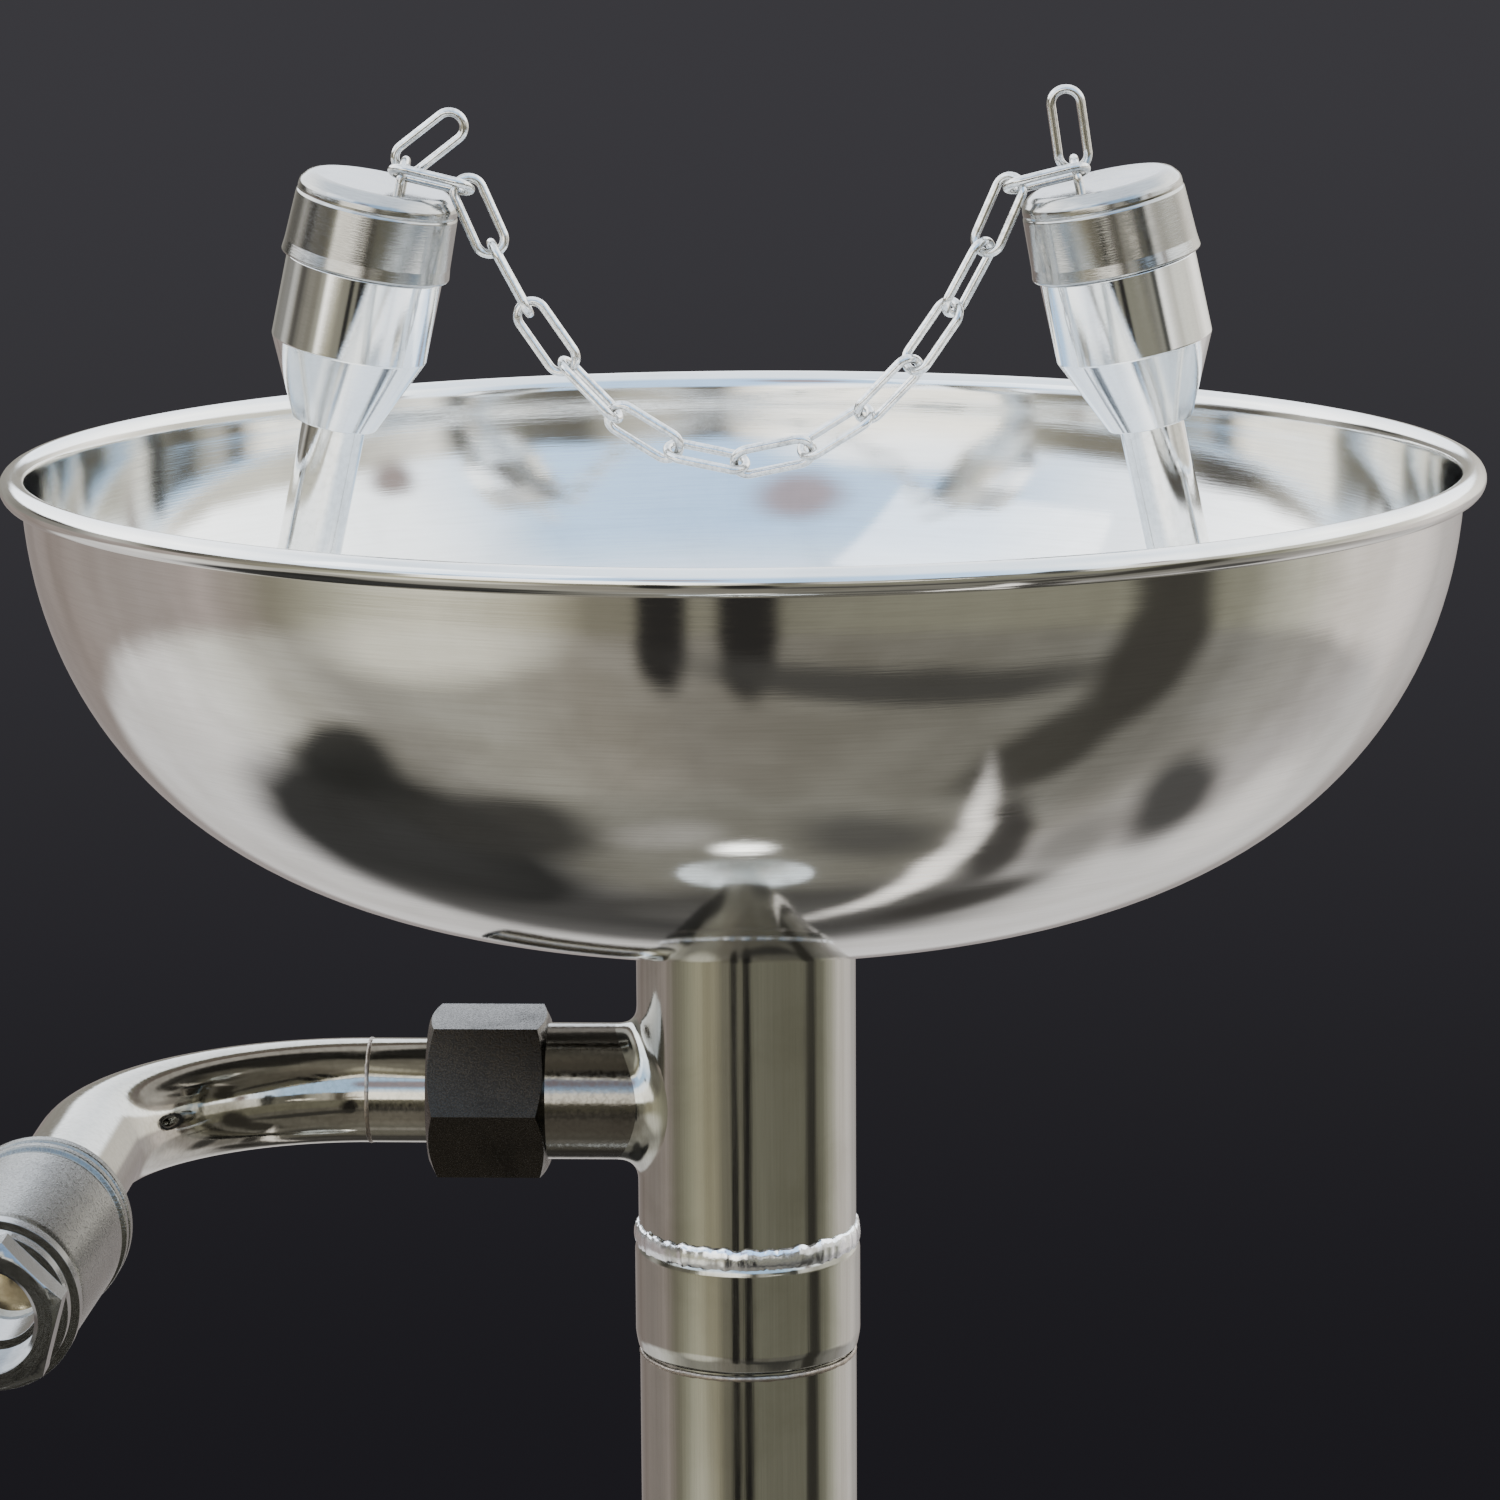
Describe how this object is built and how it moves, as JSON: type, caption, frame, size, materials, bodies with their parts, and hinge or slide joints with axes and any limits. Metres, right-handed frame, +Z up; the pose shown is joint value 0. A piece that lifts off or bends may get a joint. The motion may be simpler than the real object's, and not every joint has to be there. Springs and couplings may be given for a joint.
{
  "type": "pedestal eyewash station",
  "caption": "Pedestal eyewash station: spun steel basin on a drain column, tilted spray heads under chained dust caps, side inlet with a ball valve and push plate.",
  "frame": {"origin": "centre of the base flange's underside, on the floor, on the column's axis", "axes": "+Z up along the column; -Y towards the user; the inlet and valve are on the -X side"},
  "size_m": [0.347, 0.295, 1.0205],
  "materials": {
    "basin_steel": "spun stainless steel, polished with faint circumferential scratches",
    "pipe_steel": "brushed stainless steel pipe, warm grey",
    "machined_steel": "machined stainless hexagon, dull grey",
    "cast_steel": "bead-blasted investment-cast stainless steel",
    "polished_steel": "turned and polished",
    "cap_metal": "satin turned aluminium",
    "chain_wire": "bright nickel-plated wire",
    "rubber": "black moulded rubber",
    "white_plastic": "natural white plastic",
    "plate_paint": "green powder coat"
  },
  "bodies": {
    "stand": {"bowl": "basin_steel", "drain_gasket": "rubber", "drain_strainer": "polished_steel", "riser_locknut": "polished_steel", "column_head": "pipe_steel", "feed_elbow": "pipe_steel", "feed_riser": "pipe_steel", "yoke_tee": "polished_steel", "yoke_arm_left": "polished_steel", "yoke_arm_right": "polished_steel", "head_body_left": "polished_steel", "head_body_right": "polished_steel", "flow_regulator_left": "white_plastic", "flow_regulator_right": "white_plastic", "spray_plate_left": "polished_steel", "spray_plate_right": "polished_steel", "head_seal_left": "rubber", "head_seal_right": "rubber", "union_nut": "machined_steel", "union_tail": "pipe_steel", "union_gasket": "rubber", "inlet_bend": "pipe_steel", "valve_body": "cast_steel", "valve_end": "cast_steel", "valve_seats": "white_plastic", "stem_packing": "white_plastic", "gland_nut": "machined_steel", "column_coupling": "pipe_steel", "column_pipe": "pipe_steel", "waste_tee": "pipe_steel", "base_pipe": "pipe_steel", "base_plug": "rubber", "base_flange": "pipe_steel"},
    "valve_handle": {"valve_ball": "polished_steel", "valve_stem": "polished_steel", "valve_lever": "machined_steel", "lever_nut": "machined_steel", "push_plate": "plate_paint", "plate_screws": "polished_steel", "plate_nuts": "polished_steel"},
    "cap_left": {"dust_cap_left": "cap_metal", "cap_eye_left": "chain_wire", "end_link_left": "chain_wire", "hook_link_left": "chain_wire"},
    "chain_half_left": {"chain_left": "chain_wire"},
    "cap_right": {"dust_cap_right": "cap_metal", "cap_eye_right": "chain_wire", "end_link_right": "chain_wire", "hook_link_right": "chain_wire"},
    "chain_half_right": {"chain_right": "chain_wire"}
  },
  "joints": [
    {"name": "valve_turn", "type": "hinge", "parent": "stand", "child": "valve_handle", "pos_m": [-0.121, -0.117, 0.8257], "axis": [-1, 0, 0], "range_deg": [0, 90]},
    {"name": "cap_left_lift", "type": "slide", "parent": "stand", "child": "cap_left", "axis": [0.2164, -0.0681, 0.9739], "range_m": [0, 0.018]},
    {"name": "cap_right_lift", "type": "slide", "parent": "stand", "child": "cap_right", "axis": [-0.2164, -0.0681, 0.9739], "range_m": [0, 0.018]},
    {"name": "chain_left_swing", "type": "hinge", "parent": "cap_left", "child": "chain_half_left", "pos_m": [-0.05094, -0.01159, 1.00262], "axis": [0, 1, 0], "range_deg": [0, 4.2]},
    {"name": "chain_right_swing", "type": "hinge", "parent": "cap_right", "child": "chain_half_right", "pos_m": [0.05094, -0.01159, 1.00262], "axis": [0, -1, 0], "range_deg": [0, 4.2]}
  ],
  "couplings": [
    {"joint": "cap_right_lift", "follows": "cap_left_lift", "ratio": 1},
    {"joint": "chain_left_swing", "follows": "cap_left_lift", "rad_per_m": 3.944},
    {"joint": "chain_right_swing", "follows": "cap_left_lift", "rad_per_m": 3.944}
  ]
}
